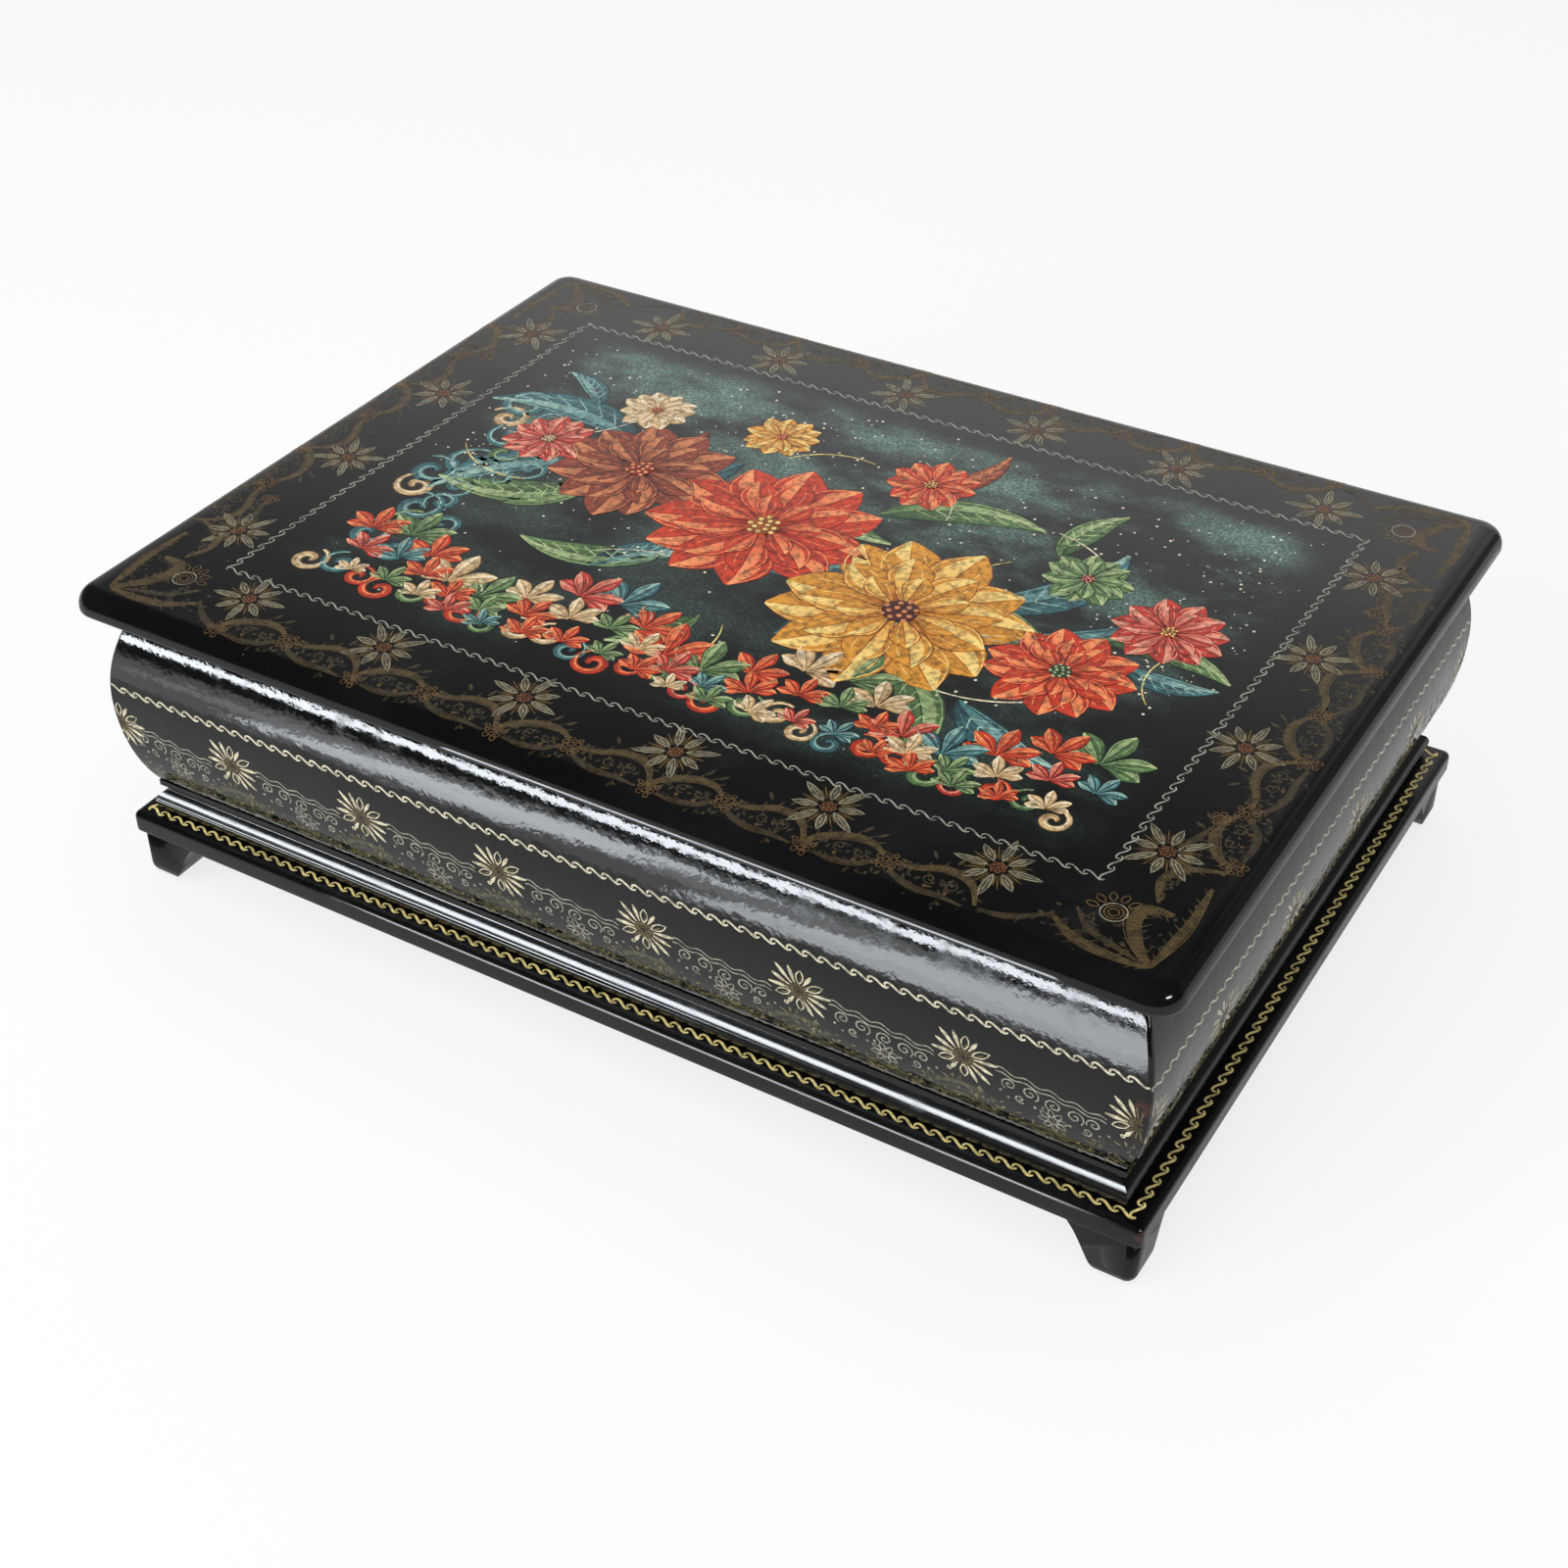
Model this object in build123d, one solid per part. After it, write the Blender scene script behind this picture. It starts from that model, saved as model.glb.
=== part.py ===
from build123d import *
from math import asin, cos, degrees
import os

os.makedirs("parts", exist_ok=True)

# A lacquered papier-mache box: a flat lid that stands out all round, swelling walls, a moulding,
# a plinth plate and four small feet. Millimetres, +Z up, front towards -Y, the lid hinged along
# +Y. The origin is on the ground, under the middle of the box.

# Lid
lid_length = 252.8
lid_width = 181.8
lid_thickness = 5.6
lid_corner_radius = 6.0
lid_top_round = 4.3
lid_bottom_round = 1.0

# Walls. An overhang is how far the lid's edge stands out past that point.
wall_height = 46.4
wall_swell_height = 23.0
wall_neck_overhang = 10.4
wall_swell_overhang = 3.4
wall_foot_overhang = 8.6
wall_neck_thickness = 7.2
wall_corner_round = 1.0
lower_swell_share = 0.885
corner_climb_share = 0.3

# Moulding under the walls: a flat fillet, a cove and a half-round bead
moulding_height = 8.6
moulding_fillet_height = 1.4
moulding_fillet_overhang = 8.3
moulding_neck_overhang = 9.8
moulding_bead_radius = 2.7
cove_depth_share = 0.62

# Plinth plate and feet
plinth_thickness = 5.1
plinth_end_overhang = 2.3
plinth_side_overhang = 3.8
plinth_corner_radius = 1.6
plinth_top_round = 1.3
plinth_bottom_round = 0.8
foot_height = 12.3
foot_width = 15.2
foot_inset = 1.0
foot_edge_round = 2.2
foot_toe_round = 3.0
foot_curve_shares = ((1.0, 1.0), (0.70, 0.66), (0.66, 0.0), (0.36, 0.0))

# Floor board and the rim that keeps the lid in place
floor_thickness = 4.0
floor_clearance = 0.1
rim_height = 5.0
rim_thickness = 3.2
rim_clearance = 0.5
rim_edge_round = 0.7

# Hinges
hinge_offset = 70.0
hinge_length = 26.0
hinge_pivot_overhang = 6.0
knuckle_count = 5
knuckle_gap = 0.2
barrel_radius = 1.5
pin_radius = 0.7
pin_case_clearance = 0.02
pin_lid_clearance = 0.05
pin_head_radius = 1.1
pin_head_height = 0.4
leaf_thickness = 1.0
leaf_gap = 0.2
leaf_reach = 9.4
leaf_corner_radius = 1.2
leaf_relief = 0.3
leaf_pocket_clearance = 0.1
web_half_width = 0.9
screw_setback = 6.8
screw_spread_share = 0.33
screw_head_radius = 1.3
screw_head_height = 0.8
screw_shank_radius = 0.6
screw_point_length = 1.0
screw_clearance = 0.03
screw_slot_width = 0.3
screw_slot_depth = 0.3
case_screw_length = 6.0
lid_screw_length = 3.6

# One overrun serves all cuts
overrun = 5.0

# Heights
plinth_base = foot_height
moulding_base = plinth_base + plinth_thickness
wall_base = moulding_base + moulding_height
wall_top = wall_base + wall_height
lid_top = wall_top + lid_thickness

# Plan sizes
lid_half_x = lid_length / 2
lid_half_y = lid_width / 2
inner_overhang = wall_neck_overhang + wall_neck_thickness
inner_half_x = lid_half_x - inner_overhang
inner_half_y = lid_half_y - inner_overhang
plinth_half_x = lid_half_x - plinth_end_overhang
plinth_half_y = lid_half_y - plinth_side_overhang

# Hinge line
hinge_y = lid_half_y - hinge_pivot_overhang
hinge_z = wall_top - leaf_gap / 2 - barrel_radius
knuckle_pitch = hinge_length / knuckle_count
screw_y = hinge_y - screw_setback


def symmetric(half_edges):
    # A face that is symmetrical about the Z axis, from the outline of its right half
    half = make_face(half_edges)
    return half + mirror(half, about=Plane.YZ)


def wall_outline(lid_half):
    # Section of the walls across the whole box: a swelling side over a tapering foot
    neck = lid_half - wall_neck_overhang
    swell = lid_half - wall_swell_overhang
    foot = lid_half - wall_foot_overhang
    angle = asin(lower_swell_share)
    curve_height = wall_swell_height / lower_swell_share
    curve_width = (swell - foot) / (1 - cos(angle))
    lower = EllipticalCenterArc(
        (swell - curve_width, wall_swell_height),
        curve_width,
        curve_height,
        start_angle=-degrees(angle),
        arc_size=degrees(angle),
    )
    upper = TangentArc((swell, wall_swell_height), (neck, wall_height), tangent=(0, 1))
    sides = [
        Line((0, 0), (foot, 0)),
        lower,
        upper,
        Line((neck, wall_height), (0, wall_height)),
        Line((0, wall_height), (0, 0)),
    ]
    return symmetric(sides)


def moulding_outline(lid_half):
    # Section of the moulding: bead on the plinth, cove, and a flat fillet that carries the walls
    fillet_x = lid_half - moulding_fillet_overhang
    neck = lid_half - moulding_neck_overhang
    bead_top = 2 * moulding_bead_radius
    fillet_base = moulding_height - moulding_fillet_height
    cove_x = neck + (fillet_x - neck) * (1 - cove_depth_share)
    cove_z = bead_top + (fillet_base - bead_top) * cove_depth_share
    sides = [
        Line((0, 0), (neck, 0)),
        ThreePointArc((neck, 0), (neck + moulding_bead_radius, moulding_bead_radius), (neck, bead_top)),
        ThreePointArc((neck, bead_top), (cove_x, cove_z), (fillet_x, fillet_base)),
        Line((fillet_x, fillet_base), (fillet_x, moulding_height)),
        Line((fillet_x, moulding_height), (0, moulding_height)),
        Line((0, moulding_height), (0, 0)),
    ]
    return symmetric(sides)


def mitred_block(outline, base):
    # The two sections run through each other, so their sides meet in mitres at the corners
    along_y = extrude(Plane.XZ * outline(lid_half_x), amount=lid_half_y, both=True)
    along_x = extrude(Plane.YZ * outline(lid_half_y), amount=lid_half_x, both=True)
    return Pos(0, 0, base) * (along_y & along_x)


def cavity():
    # The straight-sided space inside the walls and the moulding
    tall = moulding_height + wall_height + overrun
    return Pos(0, 0, moulding_base) * Box(2 * inner_half_x, 2 * inner_half_y, 2 * tall)


def round_corners(block, radius):
    # Softens the mitred corner edges, which are the only ones that climb at their middle
    def climbs(edge):
        return abs((edge @ 1 - edge @ 0).Z) > corner_climb_share * edge.length

    edges = block.edges().filter_by(climbs)
    return fillet(edges, radius)


def side_wedge(side, half_x, half_y, spread):
    # The part of the plan that one side takes up, out to its mitres
    far_x = half_x + spread
    far_y = half_y + spread
    if side in ("front", "back"):
        y = half_y if side == "back" else -half_y
        outer_y = far_y if side == "back" else -far_y
        plan = Polyline((-half_x, y), (half_x, y), (far_x, outer_y), (-far_x, outer_y), close=True)
    else:
        x = half_x if side == "right" else -half_x
        outer_x = far_x if side == "right" else -far_x
        plan = Polyline((x, -half_y), (x, half_y), (outer_x, far_y), (outer_x, -far_y), close=True)
    plan = make_face(plan)
    return extrude(plan, amount=lid_top + overrun)


def cut_into_sides(ring, half_x, half_y, spread):
    # The four mitred pieces of a ring whose inner faces are at half_x and half_y
    pieces = {}
    for side in ("front", "back", "left", "right"):
        pieces[side] = ring & side_wedge(side, half_x, half_y, spread)
    return pieces


def hinge_places():
    return {"left": -hinge_offset, "right": hinge_offset}


def screw_places(hinge_x):
    return [hinge_x + share * hinge_length for share in (-screw_spread_share, 0, screw_spread_share)]


def leaf_pocket(hinge_x, outer_y):
    # Shallow recess for one leaf, centred on the joint between lid and walls
    width = outer_y - (hinge_y - leaf_reach) + leaf_pocket_clearance
    middle = outer_y - width / 2
    length = hinge_length + 2 * leaf_pocket_clearance
    return Pos(hinge_x, middle, wall_top) * Box(length, width, leaf_gap + 2 * leaf_thickness)


def screw_holes(hinge_x, depth, up):
    # Pilot holes for the three screws of one leaf
    radius = screw_shank_radius + screw_clearance
    middle = wall_top + up * depth / 2
    holes = [Pos(x, screw_y, middle) * Cylinder(radius, depth) for x in screw_places(hinge_x)]
    return Compound(children=holes)


def make_lid_panel():
    panel = Pos(0, 0, wall_top + lid_thickness / 2) * Box(lid_length, lid_width, lid_thickness)
    panel = fillet(panel.edges().filter_by(Axis.Z), lid_corner_radius)
    panel = fillet(panel.faces().sort_by(Axis.Z)[-1].edges(), lid_top_round)
    panel = fillet(panel.faces().sort_by(Axis.Z)[0].edges(), lid_bottom_round)
    for hinge_x in hinge_places().values():
        panel -= leaf_pocket(hinge_x, hinge_y + barrel_radius + leaf_relief)
        panel -= screw_holes(hinge_x, leaf_gap / 2 + lid_screw_length + screw_clearance, 1)
    return panel


def make_rim():
    outer_x = inner_half_x - rim_clearance
    outer_y = inner_half_y - rim_clearance
    opening_x = outer_x - rim_thickness
    opening_y = outer_y - rim_thickness
    middle = wall_top - rim_height / 2
    ring = Pos(0, 0, middle) * Box(2 * outer_x, 2 * outer_y, rim_height)
    ring -= Pos(0, 0, middle) * Box(2 * opening_x, 2 * opening_y, rim_height + overrun)
    ring = fillet(ring.faces().sort_by(Axis.Z)[0].edges(), rim_edge_round)
    return cut_into_sides(ring, opening_x, opening_y, rim_thickness + overrun)


def make_walls():
    block = round_corners(mitred_block(wall_outline, wall_base), wall_corner_round)
    walls = cut_into_sides(block - cavity(), inner_half_x, inner_half_y, inner_overhang + overrun)
    for hinge_x in hinge_places().values():
        walls["back"] -= leaf_pocket(hinge_x, lid_half_y)
        walls["back"] -= screw_holes(hinge_x, leaf_gap / 2 + case_screw_length + screw_clearance, -1)
    return walls


def make_moulding():
    block = mitred_block(moulding_outline, moulding_base)
    return cut_into_sides(block - cavity(), inner_half_x, inner_half_y, inner_overhang + overrun)


def make_floor_board():
    length = 2 * (inner_half_x - floor_clearance)
    width = 2 * (inner_half_y - floor_clearance)
    return Pos(0, 0, moulding_base + floor_thickness / 2) * Box(length, width, floor_thickness)


def make_plinth_plate():
    plate = Pos(0, 0, plinth_base + plinth_thickness / 2) * Box(
        2 * plinth_half_x, 2 * plinth_half_y, plinth_thickness
    )
    plate = fillet(plate.edges().filter_by(Axis.Z), plinth_corner_radius)
    plate = fillet(plate.faces().sort_by(Axis.Z)[-1].edges(), plinth_top_round)
    return fillet(plate.faces().sort_by(Axis.Z)[0].edges(), plinth_bottom_round)


def foot_outline():
    # One face of a bracket foot: upright outside, rounded toe, and an ogee that runs up inwards
    curve = Bezier(*[(foot_width * across, foot_height * up) for across, up in foot_curve_shares])
    flat_end = foot_width * foot_curve_shares[-1][0]
    sides = [
        Line((0, foot_height), (foot_width, foot_height)),
        curve,
        Line((flat_end, 0), (foot_toe_round, 0)),
        RadiusArc((foot_toe_round, 0), (0, foot_toe_round), foot_toe_round),
        Line((0, foot_toe_round), (0, foot_height)),
    ]
    return make_face(sides)


def make_foot(side_x, side_y, turn):
    # The front view and the side view of the foot, each run through the other
    face = foot_outline()
    view_x = extrude(Plane.XZ * face, amount=-foot_width)
    view_y = extrude(Plane.YZ * face, amount=foot_width)
    foot = view_x & view_y
    edge = foot.edges().filter_by(Axis.Z).sort_by(lambda e: e.center().X + e.center().Y)[0]
    foot = fillet(edge, foot_edge_round)
    corner_x = side_x * (plinth_half_x - foot_inset)
    corner_y = side_y * (plinth_half_y - foot_inset)
    return Pos(corner_x, corner_y, 0) * Rot(0, 0, turn) * foot


def knuckle(hinge_x, index, bore):
    # One knuckle of the barrel, bored for the pin
    length = knuckle_pitch - knuckle_gap
    middle = hinge_x - hinge_length / 2 + (index + 1 / 2) * knuckle_pitch
    place = Pos(middle, hinge_y, hinge_z) * Rot(0, 90, 0)
    return place * (Cylinder(barrel_radius, length) - Cylinder(bore, length + overrun))


def leaf_plate(hinge_x, base, outer_y):
    # The flat of a leaf, with its two inner corners rounded
    inner_y = hinge_y - leaf_reach
    width = outer_y - inner_y
    middle = Pos(hinge_x, inner_y + width / 2, base + leaf_thickness / 2)
    plate = middle * Box(hinge_length, width, leaf_thickness)
    corners = plate.edges().filter_by(Axis.Z).group_by(Axis.Y)[0]
    return fillet(corners, leaf_corner_radius)


def leaf_relief_cut(hinge_x, index, reach):
    # Room in a leaf beside a knuckle of the other leaf
    middle = hinge_x - hinge_length / 2 + (index + 1 / 2) * knuckle_pitch
    tall = 2 * (barrel_radius + leaf_gap + leaf_thickness)
    return Pos(middle, hinge_y, hinge_z) * Box(knuckle_pitch + knuckle_gap, 2 * reach, tall)


def screw_body(length, clearance):
    # Countersunk screw, head up, with the top of the head on Z = 0
    head = screw_head_radius + clearance
    shank = screw_shank_radius + clearance
    profile = Polyline(
        (0, 0),
        (head, 0),
        (shank, -screw_head_height),
        (shank, screw_point_length - length),
        (0, -length),
        close=True,
    )
    return revolve(Plane.XZ * make_face(profile), axis=Axis.Z)


def leaf_screws(hinge_x, top, up, length):
    # Three slotted screws; a screw in the lid points up, so its head faces down
    solids = []
    for x in screw_places(hinge_x):
        slot = Box(2 * screw_head_radius + overrun, screw_slot_width, 2 * screw_slot_depth)
        screw = screw_body(length, 0) - slot
        if up:
            screw = Rot(180, 0, 0) * screw
        solids.append(Pos(x, screw_y, top) * screw)
    return Compound(children=solids)


def countersinks(hinge_x, top, up, length):
    solids = []
    for x in screw_places(hinge_x):
        sink = screw_body(length, screw_clearance)
        if up:
            sink = Rot(180, 0, 0) * sink
        solids.append(Pos(x, screw_y, top) * sink)
    return Compound(children=solids)


def make_hinge(hinge_x):
    case_top = wall_top - leaf_gap / 2
    lid_base = wall_top + leaf_gap / 2
    case_bore = pin_radius + pin_case_clearance
    lid_bore = pin_radius + pin_lid_clearance
    case_leaf = leaf_plate(hinge_x, case_top - leaf_thickness, hinge_y)
    lid_leaf = leaf_plate(hinge_x, lid_base, hinge_y + web_half_width)
    pin_way = Pos(hinge_x, hinge_y, hinge_z) * Rot(0, 90, 0) * Cylinder(case_bore, hinge_length + overrun)
    for index in range(knuckle_count):
        if index % 2:
            case_leaf -= leaf_relief_cut(hinge_x, index, barrel_radius + leaf_relief)
            web_base = hinge_z + pin_radius + (barrel_radius - pin_radius) / 2
            web_height = lid_base - web_base
            middle = hinge_x - hinge_length / 2 + (index + 1 / 2) * knuckle_pitch
            web = Pos(middle, hinge_y, web_base + web_height / 2) * Box(
                knuckle_pitch - knuckle_gap, 2 * web_half_width, web_height
            )
            lid_leaf += web
            lid_leaf += knuckle(hinge_x, index, lid_bore)
    case_leaf -= pin_way
    for index in range(0, knuckle_count, 2):
        case_leaf += knuckle(hinge_x, index, case_bore)
    case_leaf -= countersinks(hinge_x, case_top, False, case_screw_length)
    lid_leaf -= countersinks(hinge_x, lid_base, True, lid_screw_length)
    pin = Cylinder(pin_radius, hinge_length)
    head_middle = (hinge_length + pin_head_height) / 2
    for end in (-1, 1):
        pin += Pos(0, 0, end * head_middle) * Cylinder(pin_head_radius, pin_head_height)
    pin = Pos(hinge_x, hinge_y, hinge_z) * Rot(0, 90, 0) * pin
    return {
        "case_leaf": case_leaf,
        "lid_leaf": lid_leaf,
        "pin": pin,
        "case_screws": leaf_screws(hinge_x, case_top, False, case_screw_length),
        "lid_screws": leaf_screws(hinge_x, lid_base, True, lid_screw_length),
    }


parts = {
    "lid_panel": make_lid_panel(),
    "floor_board": make_floor_board(),
    "plinth_plate": make_plinth_plate(),
}
for side, solid in make_rim().items():
    parts["lid_rim_" + side] = solid
for side, solid in make_walls().items():
    parts["wall_" + side] = solid
for side, solid in make_moulding().items():
    parts["moulding_" + side] = solid
foot_places = (("front_left", -1, -1), ("front_right", 1, -1), ("back_right", 1, 1), ("back_left", -1, 1))
for quarter, (name, side_x, side_y) in enumerate(foot_places):
    parts["foot_" + name] = make_foot(side_x, side_y, 90 * quarter)
for side, hinge_x in hinge_places().items():
    for piece, solid in make_hinge(hinge_x).items():
        parts["hinge_" + side + "_" + piece] = solid

for name, solid in parts.items():
    export_step(solid, "parts/" + name + ".step")
    print(name, round(solid.volume, 1))
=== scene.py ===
import math
import random
import bpy
from mathutils import Matrix, Vector
from mathutils.bvhtree import BVHTree


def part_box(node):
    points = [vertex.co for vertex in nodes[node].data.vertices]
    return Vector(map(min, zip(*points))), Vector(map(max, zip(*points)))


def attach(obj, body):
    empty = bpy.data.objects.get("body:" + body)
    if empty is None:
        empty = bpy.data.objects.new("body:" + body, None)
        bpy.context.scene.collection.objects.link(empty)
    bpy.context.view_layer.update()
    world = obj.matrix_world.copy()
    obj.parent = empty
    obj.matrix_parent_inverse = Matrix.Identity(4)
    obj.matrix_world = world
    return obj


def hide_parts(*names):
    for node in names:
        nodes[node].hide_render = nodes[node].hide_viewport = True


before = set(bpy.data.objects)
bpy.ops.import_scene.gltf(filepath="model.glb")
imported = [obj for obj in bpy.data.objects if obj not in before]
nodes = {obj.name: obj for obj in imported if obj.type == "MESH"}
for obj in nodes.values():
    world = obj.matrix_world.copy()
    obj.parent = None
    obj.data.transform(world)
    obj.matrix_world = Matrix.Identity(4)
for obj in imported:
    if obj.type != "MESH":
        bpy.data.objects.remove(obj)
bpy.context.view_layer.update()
scene = bpy.context.scene
print("stage: frame loaded")

# Camera, at the photograph's viewing angle
cameraValues = {
    "place": (0.22584, -0.38236, 0.35098),
    "pitch": 53.014,
    "turn": 31.092,
    "roll": -0.271,
    "lens": 55.67,
}
bpy.ops.object.camera_add(location=cameraValues["place"])
camera = bpy.context.object
camera.name = "photo_camera"
camera.data.lens = cameraValues["lens"]
camera.data.sensor_width = 36.0
camera.data.clip_start = 0.01
cameraTurn = Matrix.Identity(3)
for axis, key in (("Z", "turn"), ("X", "pitch"), ("Z", "roll")):
    cameraTurn = cameraTurn @ Matrix.Rotation(math.radians(cameraValues[key]), 3, axis)
camera.rotation_mode = "QUATERNION"
camera.rotation_quaternion = cameraTurn.to_quaternion()
scene.camera = camera
scene.view_settings.view_transform = "Standard"
print("stage: camera placed")


# Helpers for selections and materials
def pickOnly(piece):
    bpy.ops.object.select_all(action="DESELECT")
    piece.select_set(True)
    bpy.context.view_layer.objects.active = piece


def linear(red, green, blue):
    shades = []
    for value in (red, green, blue):
        share = value / 255.0
        shades.append(share / 12.92 if share < 0.04045 else ((share + 0.055) / 1.055) ** 2.4)
    return tuple(shades)


def newMaterial(name, values):
    material = bpy.data.materials.new(name)
    material.use_nodes = True
    shader = material.node_tree.nodes["Principled BSDF"]
    for socket, value in values.items():
        shader.inputs[socket].default_value = value
    return material, shader


def addNode(owner, kind, inputs=None, **settings):
    tree = owner.node_tree
    node = tree.nodes.new(kind)
    for key, value in settings.items():
        setattr(node, key, value)
    for key, value in (inputs or {}).items():
        if isinstance(value, bpy.types.NodeSocket):
            tree.links.new(value, node.inputs[key])
        else:
            node.inputs[key].default_value = value
    return node


def join(owner, output, shader, socket):
    owner.node_tree.links.new(output, shader.inputs[socket])


def objectPoint(owner):
    return addNode(owner, "ShaderNodeTexCoord").outputs["Object"]


def axesOf(owner, point):
    return addNode(owner, "ShaderNodeSeparateXYZ", {0: point}).outputs


def noiseOf(owner, point, scale, detail=3.0, rough=0.55, stretch=None):
    if stretch:
        point = addNode(owner, "ShaderNodeMapping", {"Vector": point, "Scale": stretch}).outputs[0]
    inputs = {"Vector": point, "Scale": scale, "Detail": detail, "Roughness": rough}
    return addNode(owner, "ShaderNodeTexNoise", inputs).outputs[0]


def rangeOf(owner, value, low, high, toLow=0.0, toHigh=1.0):
    inputs = {0: value, 1: low, 2: high, 3: toLow, 4: toHigh}
    return addNode(owner, "ShaderNodeMapRange", inputs, interpolation_type="SMOOTHSTEP").outputs[0]


def specksOf(owner, point, scale, rim, core):
    cells = addNode(owner, "ShaderNodeTexVoronoi", {"Vector": point, "Scale": scale}).outputs[0]
    return rangeOf(owner, cells, rim, core)


def mathOf(owner, operation, *terms):
    return addNode(owner, "ShaderNodeMath", dict(enumerate(terms)), operation=operation).outputs[0]


def productOf(owner, total, *factors):
    for factor in factors:
        total = mathOf(owner, "MULTIPLY", total, factor)
    return total


def mixOf(owner, share, first, second):
    inputs = {0: share, 6: first, 7: second}
    for index in (6, 7):
        if isinstance(inputs[index], tuple):
            inputs[index] = (*inputs[index], 1.0)
    return addNode(owner, "ShaderNodeMix", inputs, data_type="RGBA").outputs[2]


def bumpOf(owner, shader, layers):
    # Each layer is a height, how deep it is in metres and how strong
    normal = None
    for height, depth, strength in layers:
        inputs = {"Height": height, "Distance": depth, "Strength": strength}
        if normal is not None:
            inputs["Normal"] = normal
        normal = addNode(owner, "ShaderNodeBump", inputs).outputs[0]
    join(owner, normal, shader, "Normal")


# Black lacquer: near black, clear and glossy, with a faint ripple, fine dust and worn spots.
# Places are in metres. The mist fades out between the two distances from the lid's middle.
lacquerValues = {
    "base": linear(8, 8, 9),
    "haze": linear(19, 20, 22),
    "wear": linear(72, 38, 24),
    "dust": linear(150, 150, 150),
    "red": linear(150, 30, 18),
    "redDeep": linear(104, 16, 11),
    "redDust": linear(90, 30, 22),
    "mist": linear(116, 150, 138),
    "innerHalfX": 0.10885,
    "innerHalfY": 0.07335,
    "floorLevel": 0.0176,
    "lidInside": 0.07245,
    "mistX": (0.100, 0.084),
    "mistY": (0.0655, 0.055),
    "mistLevel": 0.0775,
    "wornSpots": (
        ((0.1215, -0.086, 0.048), 0.0032),
        ((0.1205, -0.085, 0.040), 0.0026),
        ((0.1235, -0.0865, 0.0155), 0.0017),
        ((-0.1225, -0.086, 0.034), 0.0022),
        ((0.1235, 0.0865, 0.0165), 0.0024),
        ((-0.1235, 0.0865, 0.0165), 0.0024),
        ((-0.119, 0.0845, 0.038), 0.0026),
    ),
}


def wearMask(owner, point):
    total = None
    for place, reach in lacquerValues["wornSpots"]:
        gap = addNode(owner, "ShaderNodeVectorMath", {0: point, 1: place}, operation="DISTANCE").outputs[1]
        near = rangeOf(owner, gap, reach, reach * 0.4)
        total = near if total is None else mathOf(owner, "MAXIMUM", total, near)
    return productOf(owner, total, rangeOf(owner, noiseOf(owner, point, 900.0, 4.0), 0.42, 0.52))


def mistMask(owner, point):
    # Painted clouds on the lid's top, inside the wave frame and thicker towards the back
    x, y, z = axesOf(owner, point)[:3]
    across = rangeOf(owner, mathOf(owner, "ABSOLUTE", x), *lacquerValues["mistX"])
    along = rangeOf(owner, mathOf(owner, "ABSOLUTE", y), *lacquerValues["mistY"])
    top = mathOf(owner, "GREATER_THAN", z, lacquerValues["mistLevel"])
    high = rangeOf(owner, y, -0.03, 0.045, 0.2, 1.0)
    billow = rangeOf(owner, noiseOf(owner, point, 26.0, 5.0, 0.62, (1.0, 1.6, 1.0)), 0.40, 0.66)
    grain = rangeOf(owner, noiseOf(owner, point, 1400.0, 2.0), 0.38, 0.7, 0.35, 1.0)
    return productOf(owner, across, along, top, high, billow, grain)


def blackLacquer(name, peel, rough, redMask, misty=False):
    values = {"IOR": 1.5, "Roughness": rough, "Base Color": (*lacquerValues["base"], 1.0)}
    material, shader = newMaterial(name, values)
    point = objectPoint(material)
    cloud = rangeOf(material, noiseOf(material, point, 26.0, 4.0), 0.45, 0.75)
    colour = mixOf(material, cloud, lacquerValues["base"], lacquerValues["haze"])
    red = mixOf(material, cloud, lacquerValues["red"], lacquerValues["redDeep"])
    colour = mixOf(material, redMask(material, point), colour, red)
    if misty:
        colour = mixOf(material, mistMask(material, point), colour, lacquerValues["mist"])
    colour = mixOf(material, wearMask(material, point), colour, lacquerValues["wear"])
    thin = rangeOf(material, noiseOf(material, point, 60.0, 2.0), 0.56, 0.64)
    dust = productOf(material, specksOf(material, point, 330.0, 0.055, 0.03), thin)
    join(material, mixOf(material, dust, colour, lacquerValues["dust"]), shader, "Base Color")
    smear = rangeOf(material, noiseOf(material, point, 70.0, 5.0, 0.7), 0.5, 0.78, rough, rough + 0.2)
    join(material, smear, shader, "Roughness")
    fine = noiseOf(material, point, 620.0, 3.0)
    broad = noiseOf(material, point, 110.0, 3.0)
    bumpOf(material, shader, ((broad, 0.0004, peel * 0.5), (fine, 0.00008, peel * 0.7)))
    return material


def insideWalls(owner, point):
    # Red where the surface lies within the box's inner faces
    x, y, z = axesOf(owner, point)[:3]
    wide = mathOf(owner, "LESS_THAN", mathOf(owner, "ABSOLUTE", x), lacquerValues["innerHalfX"])
    deep = mathOf(owner, "LESS_THAN", mathOf(owner, "ABSOLUTE", y), lacquerValues["innerHalfY"])
    return productOf(owner, wide, deep, mathOf(owner, "GREATER_THAN", z, lacquerValues["floorLevel"]))


def insideLid(owner, point):
    # Red under the lid, inside its rim
    below = mathOf(owner, "LESS_THAN", axesOf(owner, point)[2], lacquerValues["lidInside"])
    return productOf(owner, below, insideWalls(owner, point))


wallLacquer = blackLacquer("wall_lacquer", 0.75, 0.06, insideWalls)
baseLacquer = blackLacquer("base_lacquer", 0.4, 0.2, insideWalls)
lidLacquer = blackLacquer("lid_lacquer", 0.08, 0.10, insideLid, True)


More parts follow.
